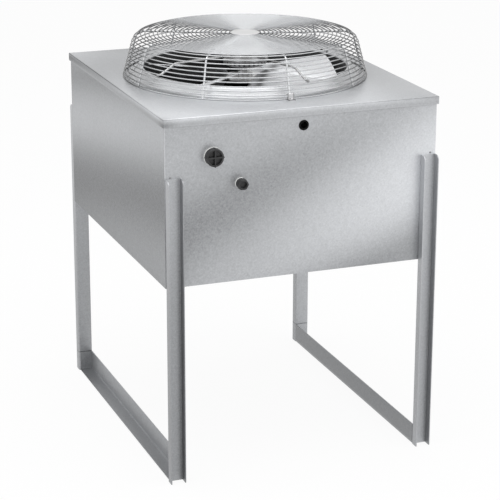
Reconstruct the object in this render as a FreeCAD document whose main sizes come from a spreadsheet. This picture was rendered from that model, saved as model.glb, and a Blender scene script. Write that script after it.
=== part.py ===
"""Remote condenser: a galvanised cabinet on four channel legs, with a fan in its lid under a wire guard.

The frame: +X to the right along the front face, +Y into the depth, +Z up, in millimetres. The origin is
on the ground, under the middle of the cabinet and on the axis of the fan.
"""

import FreeCAD, Part

import math
import os
import re

import Sketcher
from FreeCAD import Vector

# Driving dimensions: alias, value in mm or degrees, and what it measures

DIMENSIONS = [
    ("lid_width", 710.0, "lid over its skirts, left to right"),
    ("lid_depth", 805.0, "lid over its skirts, front to back"),
    ("lid_skirt", 20.0, "height of the lid's down-turned skirt"),
    ("lid_gauge", 1.5, "thickness of the lid's sheet"),
    ("lid_margin", 2.5, "gap between the skirt and the panels"),
    ("cabinet_height", 415.0, "top of the lid above the open underside"),
    ("floor_height", 500.0, "open underside above the ground"),
    ("panel_gauge", 1.5, "thickness of the cabinet's panels"),
    ("panel_return", 25.0, "side panel's bent edge behind the front and back panels"),
    ("leg_width", 38.5, "web of the leg channel"),
    ("leg_flange", 24.0, "flange of the leg channel, out from the panel"),
    ("leg_gauge", 2.5, "thickness of the leg channel"),
    ("leg_lap", 270.0, "how far a leg laps up its panel"),
    ("leg_inset", 1.0, "leg in from the cabinet's corner"),
    ("leg_corner", 12.0, "round on the flanges' upper corners"),
    ("rail_height", 54.0, "upright side of the foot rail"),
    ("rail_flange", 35.0, "foot of the foot rail"),
    ("rail_gauge", 2.5, "thickness of the foot rail"),
    ("throat_diameter", 520.0, "bore of the venturi ring"),
    ("throat_depth", 85.0, "venturi ring below the lid's top"),
    ("collar_height", 25.0, "venturi ring above the lid's top"),
    ("collar_land", 14.0, "flat top of the collar"),
    ("collar_slope", 15.0, "outward run of the collar's slope"),
    ("collar_flange", 13.0, "flange that lies on the lid"),
    ("collar_round", 9.0, "round of the collar's lip"),
    ("venturi_gauge", 1.5, "thickness of the venturi ring"),
    ("seat_clearance", 0.5, "gap round a piece in its hole"),
    ("guard_foot_reach", 52.0, "lowest ring of the guard out from the throat"),
    ("guard_shoulder_reach", 24.0, "where the guard's top and side would meet, out from the throat"),
    ("guard_top_height", 107.0, "guard's middle above the lid"),
    ("guard_shoulder_height", 104.0, "guard's shoulder above the lid"),
    ("guard_bend", 26.0, "bend of the guard's shoulder"),
    ("guard_pitch", 10.6, "spacing of the rings along the guard"),
    ("guard_wire", 2.8, "diameter of a ring's wire"),
    ("rib_wire", 4.4, "diameter of a rib's wire"),
    ("rib_count", 9, "ribs of the guard"),
    ("rib_start", 18.0, "inner end of a rib from the axis"),
    ("hub_plate_radius", 37.0, "flat plate in the middle of the guard"),
    ("hub_plate_gauge", 1.5, "thickness of that plate"),
    ("clip_width", 20.0, "clip at the guard's front foot"),
    ("clip_height", 15.0, "height of that clip"),
    ("clip_foot", 12.0, "foot of that clip on the lid"),
    ("clip_gauge", 1.6, "thickness of that clip"),
    ("motor_radius", 56.0, "fan motor's shell"),
    ("motor_height", 72.0, "fan motor's length"),
    ("motor_round", 8.0, "round of the motor's rims"),
    ("motor_rise", 20.0, "fan motor's lower end above the lid's top"),
    ("motor_bore_depth", 40.0, "bearing bore in the motor"),
    ("band_gauge", 2.0, "strap round the motor"),
    ("band_height", 22.0, "height of that strap"),
    ("band_level", 52.0, "middle of that strap above the lid's top"),
    ("arm_wire", 6.0, "diameter of a motor arm"),
    ("arm_count", 4, "arms that carry the motor"),
    ("arm_turn", 15.0, "turn of the first arm from +X"),
    ("arm_foot", 9.0, "arm laid over the collar's flat top"),
    ("arm_reach", 2.0, "arm level with its foot inside the throat"),
    ("arm_bend", 22.0, "bend of an arm"),
    ("arm_shoulder", 44.0, "inward run of an arm's slope"),
    ("seat_gap", 0.3, "gap of a welded or strapped seat"),
    ("shaft_radius", 6.35, "fan shaft"),
    ("shaft_clearance", 0.05, "running clearance in the motor's bore"),
    ("shaft_length", 76.0, "fan shaft"),
    ("shaft_end_gap", 5.0, "shaft's upper end to the bottom of its bore"),
    ("hub_clearance", 0.02, "hub on its shaft"),
    ("hub_radius", 19.0, "hub's boss"),
    ("hub_length", 26.0, "hub's boss"),
    ("hub_rise", 4.0, "hub's upper end above the lid's top"),
    ("spider_radius", 62.0, "plate that carries the blades"),
    ("spider_gauge", 3.0, "thickness of that plate"),
    ("blade_count", 5, "blades of the fan"),
    ("blade_turn", -5.0, "turn of the first blade from +X"),
    ("blade_tip_gap", 10.0, "corners of the blade tips to the throat"),
    ("blade_root", 50.0, "inner end of a blade from the axis"),
    ("blade_root_chord", 78.0, "chord at the inner end"),
    ("blade_tip_chord", 150.0, "chord at the tip"),
    ("blade_root_angle", 36.0, "pitch at the inner end, degrees"),
    ("blade_tip_angle", 22.0, "pitch at the tip, degrees"),
    ("blade_camber", 9.0, "rise of the blade's curve"),
    ("blade_gauge", 1.6, "thickness of a blade"),
    ("coil_height", 88.0, "finned block of the coil"),
    ("coil_lift", 8.0, "finned block above the open underside"),
    ("coil_side_gap", 14.0, "finned block to the side panels"),
    ("coil_end_gap", 66.0, "tube sheets to the front and back panels"),
    ("tube_sheet_rise", 8.0, "tube sheets above the finned block"),
    ("tube_radius", 4.8, "coil tube"),
    ("tube_pitch", 25.4, "spacing of the coil tubes"),
    ("tube_rows", 3, "rows of coil tubes"),
    ("header_margin", 6.7, "first header in from the finned block's end"),
    ("header_radius", 11.0, "coil headers"),
    ("header_spacing", 29.0, "gas header to liquid header"),
    ("header_rise", 30.0, "headers above the finned block"),
    ("gas_line_radius", 8.0, "line from the large coupling"),
    ("liquid_line_radius", 4.8, "line from the small coupling"),
    ("line_bend", 16.0, "bend of these lines"),
    ("gas_line_rise", 46.0, "level run of the large coupling's line over its header"),
    ("liquid_line_rise", 22.0, "level run of the small coupling's line over its header"),
    ("large_cap_radius", 22.5, "dust cap of the large coupling"),
    ("small_cap_radius", 13.5, "dust cap of the small coupling"),
    ("large_reach", 20.0, "large cap's face out from the front panel"),
    ("small_reach", 24.0, "small cap's face out from the front panel"),
    ("large_from_left", 124.0, "large coupling in from the lid's left end"),
    ("large_drop", 99.0, "large coupling below the lid's top"),
    ("small_from_left", 193.0, "small coupling in from the lid's left end"),
    ("small_drop", 170.0, "small coupling below the lid's top"),
    ("cap_wall", 3.0, "wall of a dust cap"),
    ("cap_recess", 4.0, "recess in a dust cap's face"),
    ("cap_rib", 3.4, "cross rib in a dust cap's face"),
    ("large_body_radius", 13.5, "large coupling through the panel"),
    ("small_body_radius", 8.0, "small coupling through the panel"),
    ("large_nut", 6.0, "large coupling's collar in front of the panel"),
    ("small_nut", 7.0, "small coupling's collar in front of the panel"),
    ("coupling_tail", 30.0, "couplings behind the front panel's face"),
    ("entry_drop", 43.5, "cable entry below the lid's top"),
    ("entry_radius", 11.1, "hole in the panel for the cable entry"),
    ("grommet_radius", 12.7, "grommet's rims"),
    ("grommet_bore", 8.5, "grommet's bore"),
    ("grommet_rim", 2.2, "thickness of a grommet's rim"),
]

doc = FreeCAD.newDocument("remote_condenser")
sheet = doc.addObject("Spreadsheet::Sheet", "sizes")
for row, (alias, value, note) in enumerate(DIMENSIONS, start=1):
    sheet.set("A%d" % row, note)
    sheet.set("B%d" % row, str(value))
    sheet.setAlias("B%d" % row, alias)
doc.recompute()

ALIASES = {alias for alias, value, note in DIMENSIONS}
UP = Vector(0, 0, 1)
nodes = []


def bound(words):
    """The same expression with each driving dimension read from the sheet."""
    return re.sub(r"[a-z_]+", lambda m: "sizes." + m[0] if m[0] in ALIASES else m[0], words)


def number(words):
    """An expression of driving dimensions worked out as a plain number."""
    return float(sheet.evalExpression(words))


def count_of(alias):
    """A driving dimension that counts copies."""
    return int(number(alias))


# Levels and faces that several pieces share

LID_TOP = "(floor_height + cabinet_height)"
SIDE_FACE = "(lid_width / 2 - lid_gauge - lid_margin)"
FRONT_FACE = "(lid_depth / 2 - lid_gauge - lid_margin)"
LEG_OUTER = "(" + SIDE_FACE + " - leg_inset)"
LEG_INNER = "(" + LEG_OUTER + " - leg_width)"
THROAT = "(throat_diameter / 2)"


def new_body(name):
    """An empty body that becomes one node."""
    body = doc.addObject("PartDesign::Body", name)
    body.Label = name
    nodes.append(body)
    return body


def new_sketch(body, role, level):
    """A sketch on one of the body's origin planes, moved along that plane's normal."""
    sketch = body.newObject("Sketcher::SketchObject", "sketch")
    plane = next(f for f in body.Origin.OriginFeatures if f.Role == role)
    sketch.AttachmentSupport = [(plane, "")]
    sketch.MapMode = "FlatFace"
    sketch.setExpression("AttachmentOffset.Base.z", bound(level))
    return sketch


def constrain(sketch, kind, where, words):
    """One dimension of a sketch, bound to the sheet."""
    index = sketch.addConstraint(Sketcher.Constraint(kind, *where, number(words)))
    sketch.setExpression("Constraints[%d]" % index, bound(words))


def outline(body, role, level, corners):
    """A closed outline of straight sides whose corners are pairs of expressions."""
    sketch = new_sketch(body, role, level)
    places = [Vector(number(across), number(up), 0) for across, up in corners]
    for start, end in zip(places, places[1:] + places[:1]):
        sketch.addGeometry(Part.LineSegment(start, end), False)
    for i in range(len(corners)):
        sketch.addConstraint(Sketcher.Constraint("Coincident", i, 2, (i + 1) % len(corners), 1))
    for i, (across, up) in enumerate(corners):
        constrain(sketch, "DistanceX", (i, 1), across)
        constrain(sketch, "DistanceY", (i, 1), up)
    return sketch


def rectangle(low_across, high_across, low_up, high_up):
    """The corners of a rectangle."""
    return [(low_across, low_up), (high_across, low_up), (high_across, high_up), (low_across, high_up)]


def circle(body, role, level, across, up, radius):
    """A circle whose centre and radius are expressions."""
    sketch = new_sketch(body, role, level)
    middle = Vector(number(across), number(up), 0)
    sketch.addGeometry(Part.Circle(middle, UP, number(radius)), False)
    constrain(sketch, "DistanceX", (0, 3), across)
    constrain(sketch, "DistanceY", (0, 3), up)
    constrain(sketch, "Radius", (0,), radius)
    return sketch


def feature(body, kind, sketch, length):
    """A pad along the sketch's normal, or a pocket against it."""
    made = body.newObject("PartDesign::" + kind, kind)
    made.Profile = sketch
    made.setExpression("Length", bound(length))
    doc.recompute()
    return made


def rounded(body, base, radius, wanted):
    """A fillet on those edges of the last feature whose middle point is wanted."""
    names = []
    for i, edge in enumerate(base.Shape.Edges, start=1):
        if wanted(edge.CenterOfMass, edge):
            names.append("Edge%d" % i)
    made = body.newObject("PartDesign::Fillet", "round")
    made.Base = (base, names)
    made.setExpression("Radius", bound(radius))
    doc.recompute()
    return made


def near(one, other):
    """Whether two lengths are the same."""
    return abs(one - other) < 0.01


def solid(name, shape):
    """A node whose shape is made by a function."""
    made = doc.addObject("Part::Feature", name)
    made.Label = name
    made.Shape = shape
    nodes.append(made)
    return made


def turned(point, degrees):
    """A point turned about the fan's axis."""
    angle = math.radians(degrees)
    across = point.x * math.cos(angle) - point.y * math.sin(angle)
    along = point.x * math.sin(angle) + point.y * math.cos(angle)
    return Vector(across, along, point.z)


def bent_path(points, radii):
    """Straight runs joined by tangent arcs, one radius for each inner point."""
    edges = []
    start = points[0]
    for before, corner, after, radius in zip(points, points[1:], points[2:], radii):
        back = (before - corner).normalize()
        ahead = (after - corner).normalize()
        half = back.getAngle(ahead) / 2
        reach = radius / math.tan(half)
        first = corner + back * reach
        last = corner + ahead * reach
        inward = (back + ahead).normalize()
        middle = corner + inward * (radius / math.sin(half) - radius)
        edges.append(Part.LineSegment(start, first).toShape())
        edges.append(Part.Arc(first, middle, last).toShape())
        start = last
    edges.append(Part.LineSegment(start, points[-1]).toShape())
    return Part.Wire(edges)


def rod(points, radii, thickness):
    """A round rod along a bent path."""
    path = bent_path(points, radii)
    heading = points[1] - points[0]
    ring = Part.Wire([Part.Circle(points[0], heading, thickness / 2).toShape()])
    return path.makePipeShell([ring], True, False)


# The lid: a folded sheet with a skirt all round and a round hole for the venturi ring


def make_lid():
    """The folded lid."""
    body = new_body("top_panel")
    outer = rectangle("-lid_width / 2", "lid_width / 2", "-lid_depth / 2", "lid_depth / 2")
    feature(body, "Pad", outline(body, "XY_Plane", LID_TOP + " - lid_skirt", outer), "lid_skirt")
    inner_x = "(lid_width / 2 - lid_gauge)"
    inner_y = "(lid_depth / 2 - lid_gauge)"
    inner = rectangle("-" + inner_x, inner_x, "-" + inner_y, inner_y)
    feature(body, "Pocket", outline(body, "XY_Plane", LID_TOP + " - lid_gauge", inner), "lid_skirt")
    hole = circle(body, "XY_Plane", LID_TOP, "0", "0", THROAT + " + venturi_gauge + seat_clearance")
    feature(body, "Pocket", hole, "2 * lid_gauge")


# The cabinet's four upright panels


def make_panel(name, face):
    """A flat front or back panel."""
    body = new_body(name)
    low, high = FRONT_FACE + " - panel_gauge", FRONT_FACE
    if face < 0:
        low, high = "-" + FRONT_FACE, "-(" + FRONT_FACE + " - panel_gauge)"
    corners = rectangle("-" + SIDE_FACE, SIDE_FACE, low, high)
    sketch = outline(body, "XY_Plane", "floor_height", corners)
    feature(body, "Pad", sketch, "cabinet_height - lid_gauge")
    return body


def pierce(body, across, drop, radius):
    """A round hole through the front panel."""
    sketch = circle(body, "XZ_Plane", FRONT_FACE, across, LID_TOP + " - " + drop, radius)
    feature(body, "Pocket", sketch, "2 * panel_gauge")


def make_side(name, side):
    """A side panel with its edges bent in behind the front and back panels."""
    body = new_body(name)
    out = "%d * %s" % (side, SIDE_FACE)
    skin = "%d * (%s - panel_gauge)" % (side, SIDE_FACE)
    lip = "%d * (%s - panel_return)" % (side, SIDE_FACE)
    end = "(" + FRONT_FACE + " - panel_gauge)"
    inside = "(" + FRONT_FACE + " - 2 * panel_gauge)"
    corners = [(out, "-" + end), (lip, "-" + end), (lip, "-" + inside), (skin, "-" + inside)]
    corners += [(skin, inside), (lip, inside), (lip, end), (out, end)]
    sketch = outline(body, "XY_Plane", "floor_height", corners)
    feature(body, "Pad", sketch, "cabinet_height - lid_gauge")


# The legs: channels whose webs lie flat on the front and back panels


def make_leg(name, side, face):
    """A channel leg with its flanges turned away from the cabinet."""
    body = new_body(name)
    outer = "%d * %s" % (side, LEG_OUTER)
    outer_skin = "%d * (%s - leg_gauge)" % (side, LEG_OUTER)
    inner_skin = "%d * (%s + leg_gauge)" % (side, LEG_INNER)
    inner = "%d * %s" % (side, LEG_INNER)
    web = "%d * %s" % (face, FRONT_FACE)
    web_skin = "%d * (%s + leg_gauge)" % (face, FRONT_FACE)
    tip = "%d * (%s + leg_flange)" % (face, FRONT_FACE)
    corners = [(outer, web), (outer, tip), (outer_skin, tip), (outer_skin, web_skin)]
    corners += [(inner_skin, web_skin), (inner_skin, tip), (inner, tip), (inner, web)]
    pad = feature(body, "Pad", outline(body, "XY_Plane", "0", corners), "floor_height + leg_lap")
    top = number("floor_height + leg_lap")
    edge = number(tip)
    rounded(body, pad, "leg_corner", lambda at, e: near(at.z, top) and near(at.y, edge))


def make_rail(name, side):
    """A foot rail: upright side inward, foot outward, and a closed tab at each end."""
    body = new_body(name)
    inner = "%d * %s" % (side, LEG_INNER)
    skin = "%d * (%s + rail_gauge)" % (side, LEG_INNER)
    out = "%d * (%s + rail_flange)" % (side, LEG_INNER)
    past = "%d * (%s + 2 * rail_flange)" % (side, LEG_INNER)
    end = FRONT_FACE
    inside = "(" + FRONT_FACE + " - rail_gauge)"
    block = outline(body, "XY_Plane", "0", rectangle(inner, out, "-" + end, end))
    feature(body, "Pad", block, "rail_height")
    trough = rectangle(skin, past, "-" + inside, inside)
    sketch = outline(body, "XY_Plane", "rail_height", trough)
    feature(body, "Pocket", sketch, "rail_height - rail_gauge")


# The venturi ring: a spun collar that stands on the lid and reaches down round the fan


def make_venturi():
    """The spun ring, with rounded lips."""
    body = new_body("venturi_ring")
    low = LID_TOP + " - throat_depth"
    high = LID_TOP + " + collar_height"
    land = THROAT + " + collar_land"
    foot = THROAT + " + collar_land + collar_slope"
    rim = THROAT + " + collar_land + collar_slope + collar_flange"
    corners = [(THROAT, low), (THROAT, high), (land, high)]
    corners += [(foot, LID_TOP + " + venturi_gauge"), (rim, LID_TOP + " + venturi_gauge")]
    corners += [(rim, LID_TOP), (foot + " - venturi_gauge", LID_TOP)]
    corners += [(land + " - 0.5 * venturi_gauge", high + " - venturi_gauge")]
    corners += [(THROAT + " + venturi_gauge", high + " - venturi_gauge")]
    corners += [(THROAT + " + venturi_gauge", low)]
    sketch = outline(body, "XZ_Plane", "0", corners)
    ring = body.newObject("PartDesign::Revolution", "ring")
    ring.Profile = sketch
    ring.ReferenceAxis = (sketch, ["V_Axis"])
    ring.Angle = 360
    doc.recompute()
    lip = (number(THROAT), number(land))
    crest = number(high)

    def outer_lip(at, edge):
        return near(at.z, crest) and any(near(edge.BoundBox.XMax, r) for r in lip)

    inner = (number(THROAT + " + venturi_gauge"), number(land + " - 0.5 * venturi_gauge"))
    under = number(high + " - venturi_gauge")

    def inner_lip(at, edge):
        return near(at.z, under) and any(near(edge.BoundBox.XMax, r) for r in inner)

    crown = rounded(body, ring, "collar_round", outer_lip)
    rounded(body, crown, "collar_round - venturi_gauge", inner_lip)


# The guard: rings of wire over ribs that run from the middle plate down to the lid


def guard_corners(offset):
    """The guard's section as middle, shoulder and foot, moved inward by an offset."""
    top = number(LID_TOP)
    middle = Vector(0, 0, top + number("guard_top_height"))
    shoulder = Vector(number(THROAT + " + guard_shoulder_reach"), 0, top + number("guard_shoulder_height"))
    foot = Vector(number(THROAT + " + guard_foot_reach"), 0, top)
    across = (shoulder - middle).normalize()
    down = (foot - shoulder).normalize()
    moved = shoulder + (down - across) * (offset / across.cross(down).Length)
    start = moved - across * (moved.x / across.x)
    end = moved + down * ((moved.z - top) / -down.z)
    return start, moved, end


def ring_places():
    """Each ring's radius and height, evenly along the guard's section, and whether it is on the flat top."""
    middle, shoulder, foot = guard_corners(0)
    wire = number("guard_wire")
    lowest = foot + (shoulder - foot).normalize() * (wire / 2 + number("seat_gap"))
    runs = bent_path([middle, shoulder, lowest], [number("guard_bend")]).Edges
    ends = [0.0]
    for run in runs:
        ends.append(ends[-1] + run.Length)
    first = number("hub_plate_radius") + wire
    count = int((ends[-1] - first) / number("guard_pitch"))
    pitch = (ends[-1] - first) / count
    places = []
    for k in range(count + 1):
        along = first + pitch * k
        part = next(i for i in range(len(runs)) if i == len(runs) - 1 or along <= ends[i + 1])
        reach = min(along - ends[part], runs[part].Length)
        at = runs[part].valueAt(runs[part].getParameterByLength(reach))
        places.append((at.x, at.z, part == 0))
    return places


def make_rings():
    """The guard's rings: whole ones on the flat top, and quarter rings round its side."""
    wire = number("guard_wire") / 2
    places = ring_places()
    top = [Part.makeTorus(r, wire, Vector(0, 0, z), UP) for r, z, flat in places if flat]
    solid("guard_top_rings", Part.Compound(top))
    quarter = [Part.makeTorus(r, wire, Vector(0, 0, z), UP, 0, 360, 90) for r, z, flat in places if not flat]
    for name, turn in (("right", -45), ("back", 45), ("left", 135), ("front", 225)):
        arcs = Part.Compound([arc.copy() for arc in quarter])
        arcs.rotate(Vector(0, 0, 0), UP, turn)
        solid("guard_%s_rings" % name, arcs)


def make_ribs():
    """The guard's ribs, one solid each, under its rings, and the plate over their inner ends."""
    rib = number("rib_wire")
    offset = (number("guard_wire") + rib) / 2
    middle, shoulder, foot = guard_corners(offset)
    start = middle + (shoulder - middle).normalize() * number("rib_start")
    lean = (foot - shoulder).normalize()
    end = foot - lean * (rib / 2 * lean.x / -lean.z)
    turn = 360.0 / number("rib_count")
    ribs = []
    for k in range(count_of("rib_count")):
        points = [turned(at, -90 + turn * k) for at in (start, shoulder, end)]
        ribs.append(rod(points, [number("guard_bend") - offset], rib))
    solid("guard_ribs", Part.Compound(ribs))
    plate = Part.makeCylinder(number("hub_plate_radius"), number("hub_plate_gauge"))
    plate.translate(Vector(0, 0, start.z + rib / 2))
    solid("guard_hub_plate", plate)


def make_clip():
    """The angle clip that holds the guard's front foot to the lid."""
    body = new_body("guard_clip")
    reach = "-(" + THROAT + " + guard_foot_reach + guard_wire / 2 + seat_clearance"
    near_y = reach + ")"
    skin_y = reach + " + clip_gauge)"
    far_y = reach + " + clip_foot)"
    corners = [(near_y, LID_TOP), (near_y, LID_TOP + " + clip_height")]
    corners += [(skin_y, LID_TOP + " + clip_height"), (skin_y, LID_TOP + " + clip_gauge")]
    corners += [(far_y, LID_TOP + " + clip_gauge"), (far_y, LID_TOP)]
    sketch = outline(body, "YZ_Plane", "-clip_width / 2", corners)
    feature(body, "Pad", sketch, "clip_width")


# The motor hangs over the throat on bent arms, above the fan


def cylinder(name, radius, height, level):
    """A cylinder on the fan's axis."""
    made = doc.addObject("Part::Cylinder", name)
    made.setExpression("Radius", bound(radius))
    made.setExpression("Height", bound(height))
    made.setExpression("Placement.Base.z", bound(level))
    return made


def cut(name, base, tool):
    """One solid less another, as a node."""
    made = doc.addObject("Part::Cut", name)
    made.Label = name
    made.Base = base
    made.Tool = tool
    nodes.append(made)
    return made


def make_motor():
    """The motor's shell with its bearing bore, and the strap round it."""
    low = LID_TOP + " + motor_rise"
    shell = cylinder("motor_shell", "motor_radius", "motor_height", low)
    doc.recompute()
    crown = doc.addObject("Part::Fillet", "motor_crown")
    crown.Base = shell
    rims = [i for i, edge in enumerate(shell.Shape.Edges, start=1) if edge.Closed]
    crown.Edges = [(i, number("motor_round"), number("motor_round")) for i in rims]
    bore = cylinder("motor_bearing", "shaft_radius + shaft_clearance", "motor_bore_depth", low)
    cut("motor", crown, bore)
    band_low = LID_TOP + " + band_level - band_height / 2"
    outside = cylinder("band_outside", "motor_radius + band_gauge", "band_height", band_low)
    inside = cylinder("band_inside", "motor_radius + hub_clearance", "band_height", band_low)
    cut("motor_band", outside, inside)


def make_arms():
    """Bent arms from the top of the collar to the motor's strap."""
    wire = number("arm_wire")
    seat = number(LID_TOP) + number("collar_height") + wire / 2 + number("seat_gap")
    level = number(LID_TOP) + number("band_level")
    foot = number(THROAT) + number("arm_foot")
    knee = number(THROAT) - number("arm_reach")
    rise = knee - number("arm_shoulder")
    inner = number("motor_radius") + number("band_gauge") + number("seat_gap")
    flat = [Vector(foot, 0, seat), Vector(knee, 0, seat), Vector(rise, 0, level), Vector(inner, 0, level)]
    arms = []
    for k in range(count_of("arm_count")):
        turn = number("arm_turn") + 360.0 / number("arm_count") * k
        arms.append(rod([turned(at, turn) for at in flat], [number("arm_bend")] * 2, wire))
    solid("motor_arms", Part.Compound(arms))


# The fan: shaft, boss, spider plate and twisted blades turn together


def make_fan():
    """The turning parts."""
    shaft_low = LID_TOP + " + motor_rise + motor_bore_depth - shaft_end_gap - shaft_length"
    nodes.append(cylinder("fan_shaft", "shaft_radius", "shaft_length", shaft_low))
    boss_low = LID_TOP + " + hub_rise - hub_length"
    boss = cylinder("boss_solid", "hub_radius", "hub_length", boss_low)
    cut("fan_hub", boss, cylinder("boss_hole", "shaft_radius + hub_clearance", "hub_length", boss_low))
    plate_low = LID_TOP + " + hub_rise - hub_length / 2 - spider_gauge / 2"
    plate = cylinder("spider_solid", "spider_radius", "spider_gauge", plate_low)
    gap = cylinder("spider_hole", "hub_radius + hub_clearance", "spider_gauge", plate_low)
    cut("fan_spider", plate, gap)
    blade = blade_shape(number(LID_TOP + " + hub_rise - hub_length / 2"))
    for k in range(count_of("blade_count")):
        made = solid("fan_blade_%d" % (k + 1), blade)
        turn = number("blade_turn") + 360.0 / number("blade_count") * k
        made.Placement = FreeCAD.Placement(Vector(0, 0, 0), FreeCAD.Rotation(UP, turn))


def blade_section(radius, chord, pitch, middle):
    """A cambered strip across the blade at one radius."""
    tilt = math.radians(pitch)
    gauge = number("blade_gauge")

    def place(along, rise):
        across = along * math.cos(tilt) - rise * math.sin(tilt)
        up = along * math.sin(tilt) + rise * math.cos(tilt)
        return Vector(radius, across, middle + up)

    half = chord / 2
    camber = number("blade_camber")
    lower = Part.Arc(place(-half, 0), place(0, camber), place(half, 0)).toShape()
    upper = Part.Arc(place(half, gauge), place(0, camber + gauge), place(-half, gauge)).toShape()
    lead = Part.LineSegment(place(half, 0), place(half, gauge)).toShape()
    trail = Part.LineSegment(place(-half, gauge), place(-half, 0)).toShape()
    return Part.Wire([lower, lead, upper, trail])


def blade_shape(middle):
    """A twisted blade along +X, cut straight at its tip and clear of the spider plate."""
    corner = number(THROAT) - number("blade_tip_gap")
    tip = math.sqrt(corner**2 - (number("blade_tip_chord") / 2) ** 2)
    first = blade_section(number("blade_root"), number("blade_root_chord"), number("blade_root_angle"), middle)
    last = blade_section(tip, number("blade_tip_chord"), number("blade_tip_angle"), middle)
    loft = Part.makeLoft([first, last], True, True)
    slot = number("spider_gauge") + 2 * number("hub_clearance")
    plate = Part.makeCylinder(number("spider_radius"), slot, Vector(0, 0, middle - slot / 2), UP)
    return loft.cut(plate)


# The coil lies across the open underside


def box(name, low_x, high_x, low_y, high_y, low_z, high_z):
    """A box between expressions."""
    made = doc.addObject("Part::Box", name)
    made.setExpression("Length", bound("%s - (%s)" % (high_x, low_x)))
    made.setExpression("Width", bound("%s - (%s)" % (high_y, low_y)))
    made.setExpression("Height", bound("%s - (%s)" % (high_z, low_z)))
    made.setExpression("Placement.Base.x", bound(low_x))
    made.setExpression("Placement.Base.y", bound(low_y))
    made.setExpression("Placement.Base.z", bound(low_z))
    return made


COIL_LOW = "(floor_height + coil_lift)"
COIL_HIGH = "(floor_height + coil_lift + coil_height)"
COIL_END = "(" + FRONT_FACE + " - coil_end_gap)"
COIL_SIDE = "(" + SIDE_FACE + " - coil_side_gap)"
INSIDE = "(" + SIDE_FACE + " - panel_gauge)"


def make_coil():
    """The finned block between two tube sheets that reach the side panels."""
    end = "(" + COIL_END + " - panel_gauge)"
    nodes.append(box("coil_fins", "-" + COIL_SIDE, COIL_SIDE, "-" + end, end, COIL_LOW, COIL_HIGH))
    top = COIL_HIGH + " + tube_sheet_rise"
    for name, low, high in (("front", "-" + COIL_END, "-" + end), ("back", end, COIL_END)):
        nodes.append(box("coil_tube_sheet_" + name, "-" + INSIDE, INSIDE, low, high, "floor_height", top))


def make_bends():
    """Return bends over pairs of tubes, outside each tube sheet, as many as fit beside the headers."""
    pitch = number("tube_pitch")
    middle_level = number(COIL_LOW) + number("coil_height") / 2
    rows = count_of("tube_rows")
    room = 2 * number(COIL_SIDE + " - header_spacing - 2 * header_radius")
    count = int(room / (2 * pitch))
    for name, face, shift in (("return_bends_front", -1, pitch), ("return_bends_back", 1, 0.0)):
        bends = []
        for row in range(rows):
            level = middle_level + pitch * (row - (rows - 1) / 2)
            for k in range(count):
                across = (k - (count - 1) / 2) * 2 * pitch + shift
                centre = Vector(across, face * number(COIL_END), level)
                ring = Part.makeTorus(pitch / 2, number("tube_radius"), centre, UP)
                half = Part.makeBox(2 * pitch, pitch, 2 * pitch)
                half.translate(centre - Vector(pitch, pitch if face < 0 else 0, pitch))
                bends.append(ring.common(half))
        solid(name, Part.Compound(bends))


# Couplings in the front panel, with dust caps, and the lines behind them


def make_coupling(size):
    """A coupling through the front panel: plated body, and dust cap with a cross rib."""
    across = "(" + size + "_from_left - lid_width / 2)"
    level = "(" + LID_TOP + " - " + size + "_drop)"
    cap = size + "_cap_radius"
    nut = size + "_nut"
    reach = size + "_reach"
    body = new_body(size + "_coupling")
    collar = circle(body, "XZ_Plane", FRONT_FACE, across, level, cap + " - cap_wall / 2")
    feature(body, "Pad", collar, nut)
    tail_start = FRONT_FACE + " - coupling_tail"
    tail = circle(body, "XZ_Plane", tail_start, across, level, size + "_body_radius")
    feature(body, "Pad", tail, "coupling_tail")
    cover = new_body(size + "_dust_cap")
    rim = circle(cover, "XZ_Plane", FRONT_FACE + " + " + nut, across, level, cap)
    feature(cover, "Pad", rim, reach + " - " + nut)
    hollow = circle(cover, "XZ_Plane", FRONT_FACE + " + " + reach, across, level, cap + " - cap_wall")
    feature(cover, "Pocket", hollow, "cap_recess")
    half = "cap_rib / 2"
    arm = "(" + cap + " - cap_wall / 2)"
    cross = [("-" + half, "-" + arm), (half, "-" + arm), (half, "-" + half), (arm, "-" + half)]
    cross += [(arm, half), (half, half), (half, arm), ("-" + half, arm)]
    cross += [("-" + half, half), ("-" + arm, half), ("-" + arm, "-" + half), ("-" + half, "-" + half)]
    corners = [(across + " + " + x, level + " + " + z) for x, z in cross]
    recess_floor = FRONT_FACE + " + " + reach + " - cap_recess"
    feature(cover, "Pad", outline(cover, "XZ_Plane", recess_floor, corners), "cap_recess")


def make_lines():
    """The headers at the coil's front left, and the lines that run to them from the couplings."""
    bend = number("line_bend")
    behind = number("coupling_tail + seat_gap") - number(FRONT_FACE)
    radius = number("header_radius")
    header_y = -number(COIL_END) - radius - number("seat_gap")
    low = number(COIL_LOW)
    top = number(COIL_HIGH) + number("header_rise")
    first_x = -number(COIL_SIDE + " - header_margin - header_radius")
    kinds = (("gas", "large", first_x), ("liquid", "small", first_x + number("header_spacing")))
    for name, size, at_x in kinds:
        solid(name + "_header", Part.makeCylinder(radius, top - low, Vector(at_x, header_y, low), UP))
        across = number(size + "_from_left - lid_width / 2")
        level = number(LID_TOP + " - " + size + "_drop")
        run = top + number(name + "_line_rise")
        points = [Vector(across, behind, level), Vector(across, header_y, level)]
        points += [Vector(across, header_y, run), Vector(at_x, header_y, run), Vector(at_x, header_y, top)]
        first_bend = min(bend, header_y - behind)
        line = rod(points, [first_bend, bend, bend], 2 * number(name + "_line_radius"))
        solid(name + "_line", line)


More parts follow.
